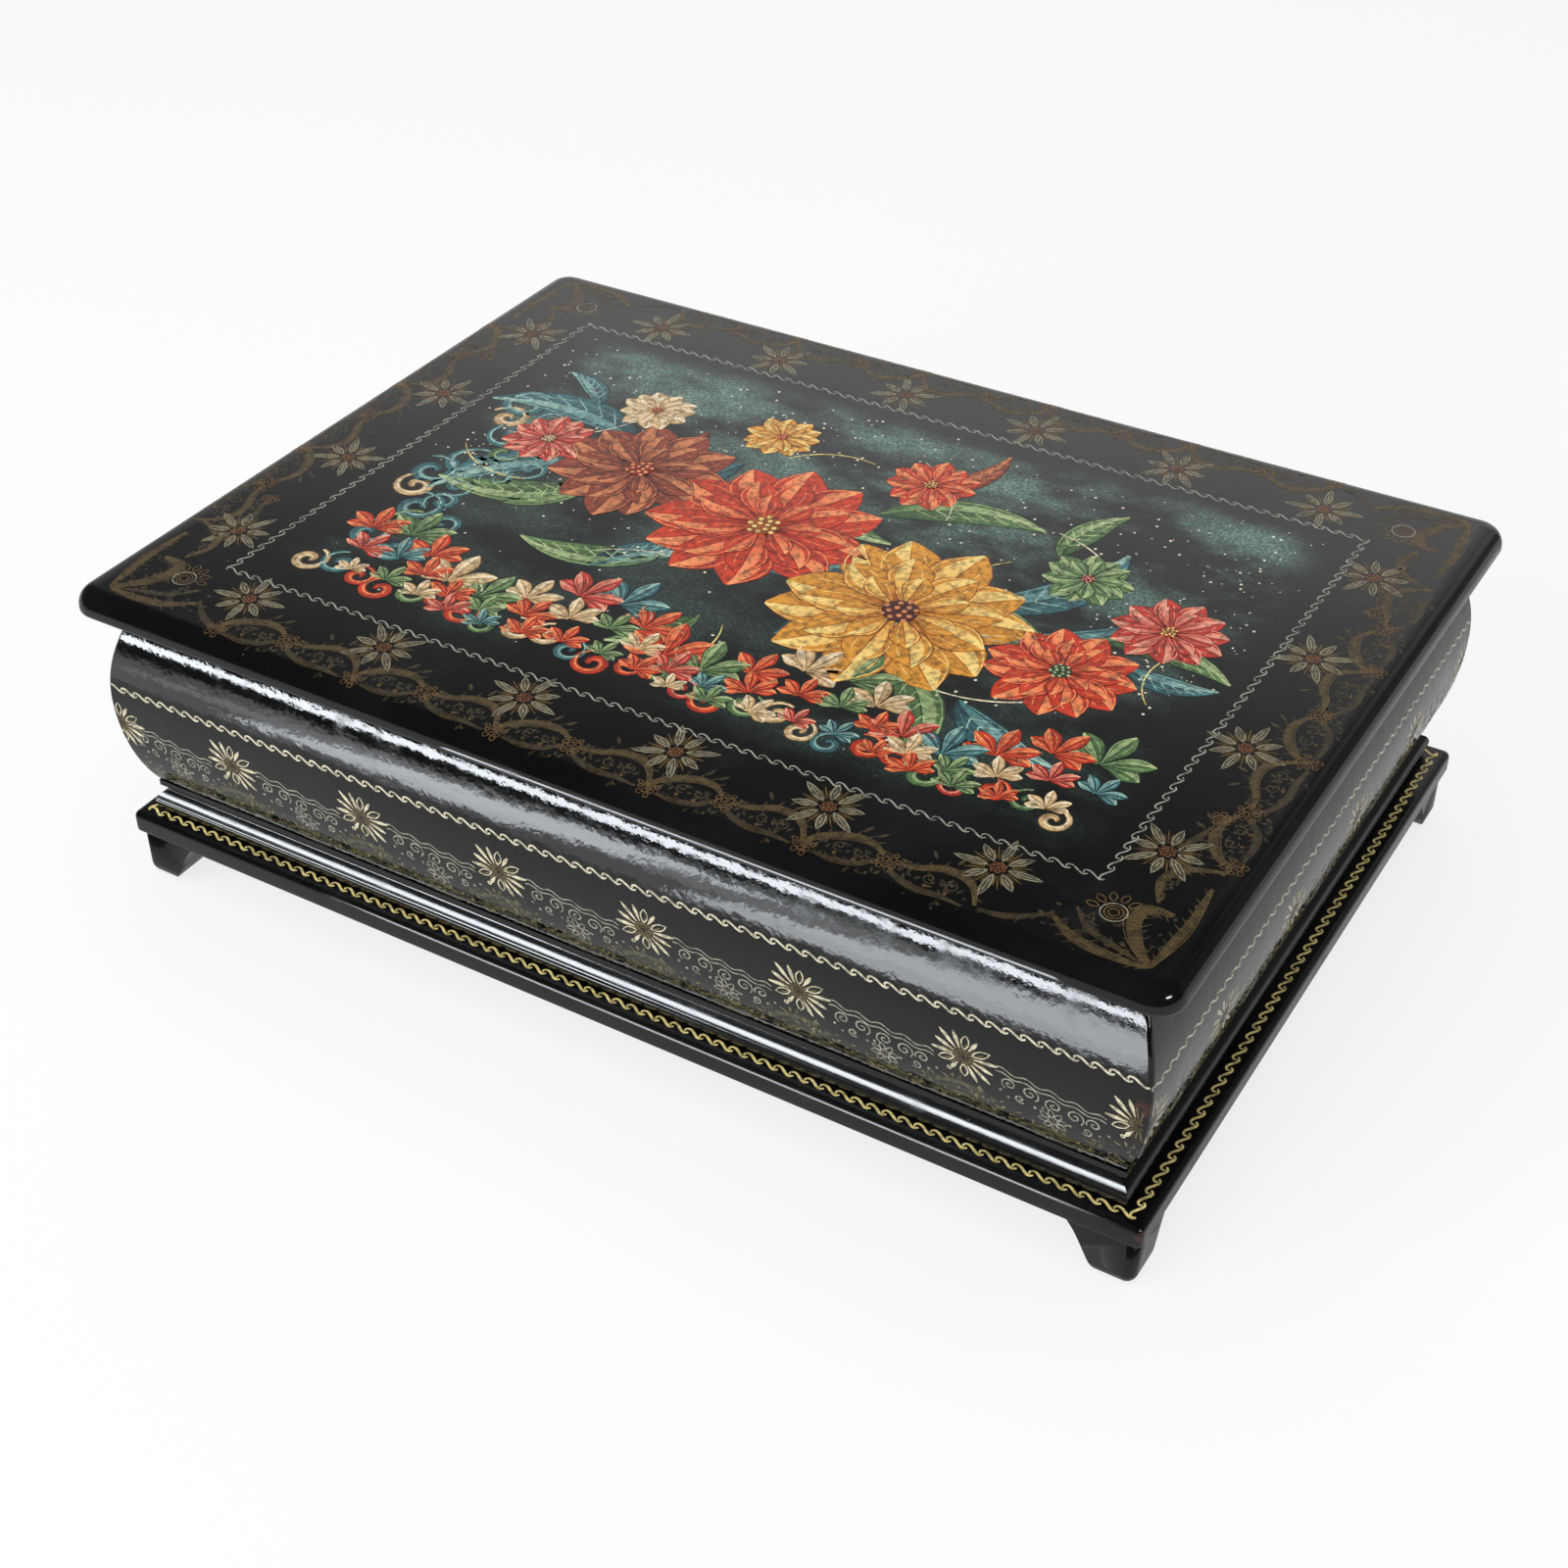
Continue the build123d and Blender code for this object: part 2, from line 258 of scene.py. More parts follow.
def redLacquer(name):
    material, shader = newMaterial(name, {"IOR": 1.5, "Roughness": 0.1})
    point = objectPoint(material)
    cloud = rangeOf(material, noiseOf(material, point, 30.0, 4.0), 0.35, 0.75)
    colour = mixOf(material, cloud, lacquerValues["red"], lacquerValues["redDeep"])
    dust = specksOf(material, point, 260.0, 0.07, 0.03)
    join(material, mixOf(material, dust, colour, lacquerValues["redDust"]), shader, "Base Color")
    smear = rangeOf(material, noiseOf(material, point, 60.0, 5.0), 0.45, 0.8, 0.1, 0.3)
    join(material, smear, shader, "Roughness")
    bumpOf(material, shader, ((noiseOf(material, point, 220.0, 2.0), 0.00008, 0.3),))
    return material


def brassFinish(name, colour, dark):
    material, shader = newMaterial(name, {"Metallic": 1.0, "Roughness": 0.28})
    point = objectPoint(material)
    grain = noiseOf(material, point, 900.0, 3.0, 0.6, (0.12, 1.0, 1.0))
    stain = rangeOf(material, noiseOf(material, point, 260.0, 4.0), 0.5, 0.72)
    join(material, mixOf(material, stain, colour, dark), shader, "Base Color")
    join(material, rangeOf(material, grain, 0.3, 0.7, 0.2, 0.42), shader, "Roughness")
    bumpOf(material, shader, ((grain, 0.00002, 0.5),))
    return material


innerLacquer = redLacquer("inner_lacquer")
leafBrass = brassFinish("leaf_brass", linear(214, 176, 104), linear(150, 112, 58))
screwBrass = brassFinish("screw_brass", linear(226, 190, 120), linear(128, 98, 56))


# Paint: its colour lies in the mesh as the attribute tint, broken a little by noise
def paintFinish(name, rough):
    material, shader = newMaterial(name, {"IOR": 1.5, "Roughness": rough})
    tint = addNode(material, "ShaderNodeVertexColor", layer_name="tint").outputs[0]
    point = objectPoint(material)
    thin = rangeOf(material, noiseOf(material, point, 700.0, 3.0), 0.3, 0.62, 0.72, 0.0)
    faded = mixOf(material, thin, tint, lacquerValues["base"])
    grain = rangeOf(material, noiseOf(material, point, 2400.0, 2.0), 0.35, 0.65, 0.0, 0.35)
    join(material, mixOf(material, grain, faded, tint), shader, "Base Color")
    bumpOf(material, shader, ((noiseOf(material, point, 1100.0, 2.0), 0.00002, 0.2),))
    return material


linePaint = paintFinish("line_paint", 0.2)
picturePaint = paintFinish("picture_paint", 0.12)
print("stage: materials made")

# Lacquered pieces: smooth merged copies of the CAD pieces
lacqueredNodes = {
    "lid_panel": ("lid", "black_lacquer", lidLacquer),
    "floor_board": ("case", "red_lacquer", innerLacquer),
    "plinth_plate": ("case", "black_lacquer", baseLacquer),
}
for side in ("front", "back", "left", "right"):
    lacqueredNodes["lid_rim_" + side] = ("lid", "red_lacquer", innerLacquer)
    lacqueredNodes["wall_" + side] = ("case", "black_lacquer", wallLacquer)
    lacqueredNodes["moulding_" + side] = ("case", "black_lacquer", baseLacquer)
for corner in ("front_left", "front_right", "back_left", "back_right"):
    lacqueredNodes["foot_" + corner] = ("case", "black_lacquer", baseLacquer)
smoothAngle = math.radians(34.0)
mergeGap = 0.000002
smoothPieces = {}
for nodeName, (bodyName, slotName, material) in lacqueredNodes.items():
    source = nodes[nodeName]
    mesh = source.data.copy()
    mesh.transform(source.matrix_world)
    piece = bpy.data.objects.new("lacquered_" + nodeName, mesh)
    scene.collection.objects.link(piece)
    pickOnly(piece)
    bpy.ops.object.mode_set(mode="EDIT")
    bpy.ops.mesh.select_all(action="SELECT")
    bpy.ops.mesh.remove_doubles(threshold=mergeGap)
    bpy.ops.mesh.normals_make_consistent(inside=False)
    bpy.ops.object.mode_set(mode="OBJECT")
    bpy.ops.object.shade_smooth_by_angle(angle=smoothAngle)
    if nodeName.startswith("wall"):
        # The broad faces keep their own shading right up to the narrow ones of the corner round
        weighted = piece.modifiers.new("weighted", "WEIGHTED_NORMAL")
        weighted.keep_sharp = True
        bpy.ops.object.modifier_apply(modifier=weighted.name)
    piece.data.materials.clear()
    piece.data.materials.append(material)
    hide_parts(nodeName)
    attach(piece, bodyName)
    smoothPieces[nodeName] = piece
for nodeName, node in nodes.items():
    if nodeName.startswith("hinge"):
        node.data.materials.clear()
        node.data.materials.append(screwBrass if "screws" in nodeName else leafBrass)
print("stage: lacquered pieces made")


# Surfaces that carry paint. Each gives the point and normal for a place in millimetres.
def surfaceOf(nodeName):
    mesh = smoothPieces[nodeName].data
    points = [vertex.co.copy() for vertex in mesh.vertices]
    return BVHTree.FromPolygons(points, [polygon.vertices for polygon in mesh.polygons])


lidSurface = surfaceOf("lid_panel")
plateSurface = surfaceOf("plinth_plate")
sideTurns = {"front": 0, "right": 1, "back": 2, "left": 3}
wallSurfaces = {side: surfaceOf("wall_" + side) for side in sideTurns}


def quarterTurned(u, w, turns):
    for _ in range(turns):
        u, w = -w, u
    return u, w


def placeOnTop(surface):
    def place(u, v):
        return surface.ray_cast(Vector((u / 1000, v / 1000, 0.3)), Vector((0, 0, -1)))[:2]

    return place


def placeOnWall(side):
    surface = wallSurfaces[side]
    turns = sideTurns[side]
    dx, dy = quarterTurned(0.0, 1.0, turns)

    def place(u, v):
        x, y = quarterTurned(u, -300.0, turns)
        return surface.ray_cast(Vector((x / 1000, y / 1000, v / 1000)), Vector((dx, dy, 0)))[:2]

    return place


# Brush strokes: closed thin ribbons that follow a surface
def newSheet():
    return {"points": [], "faces": [], "tints": []}


sinkDepth = 0.00002


def addStroke(sheet, place, path, widths, tints, lift):
    stations = []
    for index, (u, v) in enumerate(path):
        point, normal = place(u, v)
        if point is None:
            continue
        width = widths[index] if isinstance(widths, (list, tuple)) else widths
        tint = tints[index] if isinstance(tints, list) else tints
        stations.append((point, normal, width / 2000, tint))
    if len(stations) < 2:
        return
    first = len(sheet["points"])
    count = len(stations)
    for index, (point, normal, half, tint) in enumerate(stations):
        before = stations[max(index - 1, 0)][0]
        after = stations[min(index + 1, count - 1)][0]
        along = after - before
        if along.length < 1e-9:
            along = Vector((1, 0, 0))
        side = normal.cross(along.normalized()).normalized()
        up = normal * (lift / 1000)
        down = normal * -sinkDepth
        sheet["points"] += [point + side * half + down, point + side * half + up,
                            point - side * half + up, point - side * half + down]
        sheet["tints"] += [tint] * 4
    for index in range(count - 1):
        start = first + index * 4
        for edge in range(4):
            other = (edge + 1) % 4
            sheet["faces"].append((start + edge, start + other, start + 4 + other, start + 4 + edge))
    last = first + (count - 1) * 4
    sheet["faces"].append((first + 3, first + 2, first + 1, first))
    sheet["faces"].append((last, last + 1, last + 2, last + 3))


def makeSheet(name, sheet, material, body):
    mesh = bpy.data.meshes.new(name)
    mesh.from_pydata(sheet["points"], [], sheet["faces"])
    attribute = mesh.color_attributes.new("tint", "FLOAT_COLOR", "POINT")
    for index, tint in enumerate(sheet["tints"]):
        attribute.data[index].color = (*tint, 1.0)
    mesh.materials.append(material)
    piece = bpy.data.objects.new(name, mesh)
    scene.collection.objects.link(piece)
    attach(piece, body)
    print("piece", name, "faces", len(sheet["faces"]))


# A motif is a list of strokes (path, width, tint, lift) in its own millimetres
def stamp(sheet, place, motif, origin=(0, 0), angle=0.0, size=1.0, mirror=False):
    c, s = math.cos(math.radians(angle)), math.sin(math.radians(angle))
    for path, widths, tints, lift in motif:
        moved = []
        for u, v in path:
            u = -u * size if mirror else u * size
            v = v * size
            moved.append((origin[0] + u * c - v * s, origin[1] + u * s + v * c))
        if isinstance(widths, (list, tuple)):
            widths = [width * size for width in widths]
        addStroke(sheet, place, moved, widths, tints, lift)


def arcPath(points, steps):
    # A smooth path through the given points
    path = []
    knots = [points[0], *points, points[-1]]
    for corners in zip(knots, knots[1:], knots[2:], knots[3:]):
        for step in range(steps):
            t = step / steps
            spot = []
            for before, here, after, last in zip(*corners):
                bend = 2 * before - 5 * here + 4 * after - last
                twist = 3 * here - before - 3 * after + last
                spot.append(0.5 * (2 * here + (after - before) * t + bend * t * t + twist * t * t * t))
            path.append(tuple(spot))
    path.append(points[-1])
    return path


def waysOf(path):
    # The unit direction at each point of a path
    ways = []
    for index in range(len(path)):
        before = path[max(index - 1, 0)]
        after = path[min(index + 1, len(path) - 1)]
        du, dv = after[0] - before[0], after[1] - before[1]
        size = math.hypot(du, dv) or 1.0
        ways.append((du / size, dv / size))
    return ways


def taper(count, full, ends=0.25, lean=0.5):
    # Widths that swell from a thin start to full and back
    widths = []
    for index in range(count):
        t = index / max(count - 1, 1)
        t = t ** (math.log(0.5) / math.log(lean))
        widths.append(full * (ends + (1 - ends) * math.sin(math.pi * t)))
    return widths


def lensPath(angle, inner, outer, halfWidth, steps=6):
    c, s = math.cos(math.radians(angle)), math.sin(math.radians(angle))
    shares = [index / steps for index in range(steps + 1)]
    path = []
    for way, order in ((1, shares), (-1, shares[-2::-1])):
        for t in order:
            along = inner + (outer - inner) * t
            off = way * halfWidth * math.sin(math.pi * t) ** 0.85
            path.append((along * c - off * s, along * s + off * c))
    return path


def shifted(path, origin):
    return [(u + origin[0], v + origin[1]) for u, v in path]


def shiftedAll(motif, origin):
    return [(shifted(path, origin), widths, tint, lift) for path, widths, tint, lift in motif]


def rayPath(angle, inner, outer, steps=4):
    c, s = math.cos(math.radians(angle)), math.sin(math.radians(angle))
    reaches = [inner + (outer - inner) * i / steps for i in range(steps + 1)]
    return [(reach * c, reach * s) for reach in reaches]


def ringPath(centre, radius, steps=9):
    turns = [2 * math.pi * i / steps for i in range(steps + 1)]
    return shifted([(radius * math.cos(turn), radius * math.sin(turn)) for turn in turns], centre)


def spiralPath(centre, start, turns, radius, steps=14, grow=0.12):
    path = []
    for index in range(steps + 1):
        t = index / steps
        reach = radius * (grow + (1 - grow) * t)
        turn = math.radians(start + 360 * turns * t)
        path.append((centre[0] + reach * math.cos(turn), centre[1] + reach * math.sin(turn)))
    return path


# One wave of a running line, for a pitch and a rise of 1: a steep start, a crest, a long fall and a curl
waveShape = ((-0.08, -0.35), (-0.15, 0.3), (0.0, 1.0), (0.25, 0.8), (0.50, 0.0), (0.75, -0.8),
             (0.97, -1.0), (1.14, -0.35))
waveSwell = (0.62, 0.8, 0.9, 1.0, 1.05, 1.05, 0.95, 0.7)


def addWaves(sheet, place, start, end, values):
    length = math.dist(start, end)
    count = max(round(length / values["pitch"]), 1)
    pitch = length / count
    angle = math.degrees(math.atan2(end[1] - start[1], end[0] - start[0]))
    path = arcPath([(u * pitch, v * values["rise"]) for u, v in waveShape], 2)
    widths = []
    for before, after in zip(waveSwell, waveSwell[1:]):
        widths += [before, (before + after) / 2]
    widths = [width * values["stroke"] for width in widths + [waveSwell[-1]]]
    for index in range(count):
        lift = values["lift"] + 0.01 * (index % 2)
        moved = shifted(path, (pitch * index, 0))
        stamp(sheet, place, [(moved, widths, values["tint"], lift)], start, angle)


def makeWaveFrame(name, place, halfX, halfY, values, body):
    # Waves once round a rectangle
    sheet = newSheet()
    corners = ((-halfX, -halfY), (halfX, -halfY), (halfX, halfY), (-halfX, halfY), (-halfX, -halfY))
    for start, end in zip(corners, corners[1:]):
        addWaves(sheet, place, start, end, values)
    makeSheet(name, sheet, linePaint, body)


# Lid: the wave frame round the picture
lidWaves = {"halfX": 101.8, "halfY": 66.9, "pitch": 3.4, "rise": 0.66, "stroke": 0.34,
            "tint": linear(158, 158, 146), "lift": 0.03}
lidPlace = placeOnTop(lidSurface)
makeWaveFrame("lid_wave_frame", lidPlace, lidWaves["halfX"], lidWaves["halfY"], lidWaves, "lid")

# Lid: star flowers and their garland
starValues = {
    "tint": linear(148, 142, 118),
    "fill": linear(78, 74, 56),
    "gold": linear(104, 84, 44),
    "heart": linear(124, 78, 44),
    "rows": (
        (0, (-90.3, -54.7, -19.8, 15.7, 49.3, 84.4), -73.8),
        (90, (-54.1, -17.4, 17.9, 53.1), -108.6),
        (180, (-89.2, -54.2, -19.0, 15.6, 50.4, 84.6), -74.6),
        (270, (-55.7, -19.5, 16.3, 53.8), -110.6),
    ),
}
garlandValues = {
    "bronze": linear(90, 74, 42),
    "dim": linear(68, 58, 36),
    "olive": linear(50, 44, 28),
    "berry": linear(104, 78, 44),
}


def starFlower():
    motif = []
    for index in range(8):
        angle = index * 45 + 8
        reach = 8.7 if index % 2 == 0 else 7.1
        axis = rayPath(angle, 2.3, reach - 0.5, 6)
        motif.append((axis, taper(7, 1.2, 0.2), starValues["fill"], 0.02))
        motif.append((lensPath(angle, 2.0, reach, 0.74), 0.25, starValues["tint"], 0.03))
        motif.append((rayPath(angle, 3.6, reach - 1.8, 3), 0.24, starValues["tint"], 0.035))
        for spread in (-9, 0, 9):
            ray = rayPath(angle + 22.5 + spread, 2.4, 6.2 - abs(spread) * 0.12, 3)
            motif.append((ray, taper(4, 0.3, 0.5), starValues["gold"], 0.025))
    for index in range(7):
        centre = (1.15 * math.cos(index * 0.9), 1.15 * math.sin(index * 0.9))
        motif.append((ringPath(centre, 0.42, 6), 0.26, starValues["heart"], 0.04))
    motif.append((ringPath((0, 0), 0.3, 6), 0.3, starValues["heart"], 0.045))
    return motif


def berryCluster(reach, count, seed):
    maker = random.Random(seed)
    motif = []
    for index in range(count):
        turn = index * 2.4
        away = reach * math.sqrt((index + 0.4) / count)
        centre = (away * math.cos(turn), away * math.sin(turn))
        size = maker.uniform(0.46, 0.62)
        motif.append((ringPath(centre, size, 8), 0.22, garlandValues["berry"], 0.03 + 0.008 * (index % 3)))
    return motif


def featherArc(points, full, barbs, tint, flip=1):
    # A broad soft stem with a thin companion and close short strokes across it
    spine = arcPath(points, 6)
    count = len(spine)
    soft = tuple(value * 0.62 for value in tint)
    motif = [(spine, taper(count, full * 1.9, 0.4, 0.5), soft, 0.02)]
    ways = waysOf(spine)
    companion = []
    for index, ((u, v), (du, dv)) in enumerate(zip(spine, ways)):
        sway = 1.25 * full * math.sin(math.pi * index / (count - 1)) * flip
        companion.append((u - dv * sway, v + du * sway))
    motif.append((companion, 0.2, tint, 0.025))
    for index in range(barbs * 3):
        share = (index + 0.5) / (barbs * 3)
        spot = min(int(share * (count - 1)), count - 2)
        part = share * (count - 1) - spot
        u = spine[spot][0] * (1 - part) + spine[spot + 1][0] * part
        v = spine[spot][1] * (1 - part) + spine[spot + 1][1] * part
        du, dv = ways[spot]
        reach = full * (0.42 + 0.5 * math.sin(math.pi * share))
        root = (u - du * 0.35 + dv * reach, v - dv * 0.35 - du * reach)
        tip = (u + du * 0.35 - dv * reach, v + dv * 0.35 + du * reach)
        motif.append(([root, (u, v), tip], [0.14, 0.4, 0.14], tint, 0.03))
        if index % 3 == 0:
            out = reach * 2.4 * -flip
            leaf = (u + du * 1.4 - dv * out, v + dv * 1.4 + du * out)
            motif.append(([(u, v), leaf], [0.5, 0.14], soft, 0.018))
    return motif


def garlandUnit():
    bronze, dim = garlandValues["bronze"], garlandValues["dim"]
    motif = []
    motif += featherArc([(1.6, -12.6), (2.2, -9.4), (4.8, -6.9), (9.0, -5.1), (12.7, -5.3), (15.7, -7.2)],
                        1.0, 9, bronze, -1)
    motif += featherArc([(18.8, -8.2), (22.4, -7.4), (26.6, -5.2), (31.0, -5.2), (34.0, -7.4), (36.2, -11.6)],
                        0.9, 8, bronze, -1)
    motif += featherArc([(17.4, -8.6), (19.8, -11.4), (24.4, -12.9), (29.6, -12.6), (34.2, -12.9)],
                        0.7, 8, dim, 1)
    motif += featherArc([(15.6, -8.8), (12.8, -11.6), (8.4, -12.9), (3.8, -12.9)], 0.7, 7, dim, 1)
    for u, v, turn in ((7.6, -8.9, 200), (11.6, -9.0, 320), (26.0, -9.0, 220), (30.2, -9.2, 330)):
        motif.append((spiralPath((u, v), turn, 1.3, 1.5), taper(15, 0.34, 0.6), dim, 0.03))
        motif.append((ringPath((u, v - 2.2), 0.3, 6), 0.26, garlandValues["berry"], 0.03))
    for u, v, angle in ((9.4, -3.2, 70), (12.2, -3.4, 50), (24.6, -3.4, 130), (28.6, -3.2, 80)):
        motif.append((shifted(rayPath(angle, 0, 2.4), (u, v)), taper(5, 0.8, 0.2), dim, 0.025))
    motif += shiftedAll(berryCluster(2.4, 12, 4), (1.5, -12.0))
    motif += shiftedAll(berryCluster(2.5, 13, 5), (17.2, -8.6))
    return motif + thicket(((2, 34), (-13.6, -7.4)), 90, 15)


def thicket(area, count, seed):
    # Faint small leaves, denser in some places than in others
    maker = random.Random(seed)
    (left, right), (low, high) = area
    motif = []
    for index in range(count):
        u = left + (right - left) * ((index * 0.381966) % 1.0)
        u += 2.2 * math.sin(u * 0.75)
        v = maker.uniform(low, high) + 0.8 * math.sin(u * 0.4)
        angle = maker.uniform(0, 360)
        leaf = shifted(rayPath(angle, 0, maker.uniform(0.9, 1.8)), (u, v))
        widths = [0.16, maker.uniform(0.5, 0.85), 0.16]
        tint = garlandValues["dim" if index % 3 == 0 else "olive"]
        motif.append((leaf[::2], widths, tint, 0.01 + 0.003 * (index % 3)))
    return motif


# The corner fan for the front right corner, in millimetres from the lid's middle.
# Each line is the points, how full the stem is, its strokes, its tint and its side.
fanStems = (
    (((118.8, -85.0), (114.4, -80.4), (111.4, -74.6), (112.6, -70.8), (116.8, -70.2)), 1.5, 8, "bronze", 1),
    (((118.8, -84.6), (119.6, -78.0), (120.2, -70.0), (119.8, -60.0)), 1.0, 10, "bronze", -1),
    (((118.2, -85.2), (111.0, -85.6), (104.0, -84.4), (98.6, -80.6)), 1.0, 10, "bronze", -1),
    (((117.8, -84.8), (111.2, -82.6), (105.4, -80.6), (101.2, -76.4)), 0.6, 6, "dim", 1),
    (((113.0, -68.2), (111.2, -62.4), (113.8, -57.4), (120.6, -54.2)), 0.8, 7, "bronze", 1),
    (((112.4, -58.0), (110.8, -52.0), (112.2, -46.3), (113.4, -42.0)), 0.6, 6, "dim", 1),
    (((98.4, -80.0), (94.2, -83.8), (90.4, -85.6), (86.6, -85.8)), 0.7, 6, "dim", -1),
)
fanHeart = (107.4, -74.6)


def cornerFan():
    motif = []
    for points, full, barbs, tint, flip in fanStems:
        motif += featherArc(points, full, barbs, garlandValues[tint], flip)
    motif += shiftedAll(berryCluster(1.9, 10, 8), (113.5, -40.2))
    for turn, tint in enumerate((starValues["tint"], garlandValues["berry"], garlandValues["berry"])):
        motif.append((ringPath(fanHeart, 2.5 - turn * 0.75, 14), 0.26, tint, 0.03))
    for angle in (-60, -30, 0, 30, 60):
        leaf = shifted(lensPath(angle + 115, 3.0, 5.6, 0.7), fanHeart)
        motif.append((leaf, 0.22, starValues["gold"], 0.025))
    motif += thicket(((99, 118), (-84.5, -76.5)), 60, 16)
    return motif + thicket(((110, 119), (-72, -44)), 60, 17)


starSheet, garlandSheet, fanSheet = newSheet(), newSheet(), newSheet()
star = starFlower()
unit = garlandUnit()
for angle, spots, level in starValues["rows"]:
    c, s = math.cos(math.radians(angle)), math.sin(math.radians(angle))
    for index, spot in enumerate(spots):
        origin = (spot * c - level * s, spot * s + level * c)
        stamp(starSheet, lidPlace, star, origin, angle + spot)
        if index + 1 < len(spots):
            # The garland is drawn for flowers 35 mm apart
            stretch = (spots[index + 1] - spot) / 35.0
            drawn = [([(u * stretch, v) for u, v in path], *rest) for path, *rest in unit]
            stamp(garlandSheet, lidPlace, drawn, origin, angle)
fan = cornerFan()
for angle in (0, 180):
    for mirror in (False, True):
        stamp(fanSheet, lidPlace, fan, angle=angle, mirror=mirror)
makeSheet("lid_star_flowers", starSheet, linePaint, "lid")
makeSheet("lid_garland", garlandSheet, linePaint, "lid")
makeSheet("lid_corner_fans", fanSheet, linePaint, "lid")
print("stage: lid border painted")

# Lid: a bouquet of folk flowers on a misty dark ground, dark, middle and light for each tint
pictureTints = {
    "brown": (linear(70, 22, 12), linear(150, 62, 34), linear(222, 142, 92)),
    "red": (linear(130, 18, 8), linear(214, 62, 28), linear(255, 164, 104)),
    "gold": (linear(150, 74, 14), linear(226, 156, 50), linear(255, 226, 140)),
    "teal": (linear(14, 44, 52), linear(62, 120, 124), linear(168, 204, 190)),
    "green": (linear(26, 54, 30), linear(96, 130, 76), linear(188, 204, 148)),
    "rose": (linear(120, 20, 16), linear(204, 58, 44), linear(250, 180, 150)),
    "cream": (linear(150, 110, 66), linear(222, 190, 138), linear(250, 236, 204)),
}
dotTint = linear(244, 236, 212)


def blendTints(low, high, count, power=1.0):
    tints = []
    for index in range(count):
        share = (index / max(count - 1, 1)) ** power
        tints.append(tuple(a * (1 - share) + b * share for a, b in zip(low, high)))
    return tints


def bentPath(angle, start, length, bend, count):
    # A path from the middle outward that turns steadily by bend degrees
    turn = math.radians(angle)
    u, v = start * math.cos(turn), start * math.sin(turn)
    step = length / (count - 1)
    path = [(u, v)]
    for index in range(count - 1):
        turn += math.radians(bend) / (count - 1)
        u += step * math.cos(turn)
        v += step * math.sin(turn)
        path.append((u, v))
    return path


def sideOf(path, widths, share):
    # The path moved sideways by a share of its half width
    moved = []
    for (u, v), (du, dv), width in zip(path, waysOf(path), widths):
        off = width / 2 * share
        moved.append((u - dv * off, v + du * off))
    return moved


def petalStrokes(angle, start, length, wide, tints, lift, bend=0.0, fullness=0.62):
    # One petal or leaf: a graded body, a dark rim below, light veins and a light edge
    count = 10
    path = bentPath(angle, start, length, bend, count)
    widths = taper(count, wide, 0.06, fullness)
    dark, middle, light = tints
    top = lift + 0.016
    return [
        (path, [width + 0.5 for width in widths], dark, lift - 0.006),
        (path, widths, blendTints(dark, middle, count, 0.6), lift),
        (sideOf(path, widths, 0.34), [width * 0.3 for width in widths],
         blendTints(middle, light, count, 1.3), lift + 0.008),
        (sideOf(path, widths, 0.9), 0.26, blendTints(middle, light, count, 0.7), top),
        (path[1:-1], 0.2, dark, top),
        (sideOf(path, widths, -0.5)[1:-2], 0.18, blendTints(middle, light, count - 3), top),
    ]


def blossomStrokes(radius, name, heart, rings=3, seed=1):
    maker = random.Random(seed)
    tints = pictureTints[name]
    strokes = []
    for ring in range(rings):
        outer = radius * (1 - 0.27 * ring)
        count = 11 - 2 * ring
        for index in range(count):
            angle = 360 * index / count + ring * 17 + maker.uniform(-3, 3)
            lift = 0.05 + ring * 0.055 + 0.012 * (index % 3)
            strokes += petalStrokes(angle, radius * 0.1, outer * maker.uniform(0.86, 0.96),
                                    outer * 0.50, tints, lift, maker.uniform(-16, 16))
    core = pictureTints[heart]
    strokes.append((ringPath((0, 0), radius * 0.075, 10), radius * 0.15, core[0], 0.235))
    for index in range(13):
        turn = index * 2.4
        away = radius * 0.15 * math.sqrt((index + 0.5) / 13)
        centre = (away * math.cos(turn), away * math.sin(turn))
        strokes.append((ringPath(centre, radius * 0.014, 6), radius * 0.02, core[2], 0.25))
    return strokes


def leafStrokes(length, wide, bend, name, lift=0.03):
    tints = pictureTints[name]
    strokes = petalStrokes(0, 0, length, wide, tints, lift, bend, 0.45)
    path = bentPath(0, 0, length, bend, 10)
    widths = taper(10, wide, 0.06, 0.45)
    for index in range(2, 9):
        u, v = path[index]
        for share in (0.8, -0.8):
            tip = sideOf(path, widths, share)[min(index + 1, 9)]
            strokes.append(([(u, v), ((u + tip[0]) / 2, (v + tip[1]) / 2), tip], [0.22, 0.18, 0.12],
                            tints[2], lift + 0.02))
    return strokes


def scrollStrokes(radius, name, lift=0.03, turns=1.35):
    # A fat comma that winds into a curl, with a light line inside
    dark, middle, light = pictureTints[name]
    path = spiralPath((0, 0), 200, -turns, radius, 26, 0.1)
    widths = [radius * (0.1 + 0.3 * math.sin(math.pi * (index / 26) ** 0.9)) for index in range(27)]
    return [
        (path, [width + 0.5 for width in widths], dark, lift - 0.006),
        (path, widths, blendTints(dark, middle, 27, 0.5), lift),
        (sideOf(path, widths, -0.45), [width * 0.34 for width in widths],
         blendTints(middle, light, 27), lift + 0.01),
    ]


def flameStrokes(radius, name):
    # A small fan of bent leaves on one root
    strokes = []
    for index, angle in enumerate((152, 28, 128, 52, 90)):
        reach = radius * (0.72, 0.72, 0.9, 0.9, 1.0)[index]
        bend = (90 - angle) * -0.7
        lift = 0.03 + 0.012 * index
        strokes += petalStrokes(angle, 0.5, reach, radius * 0.36, pictureTints[name], lift, bend)
    return strokes


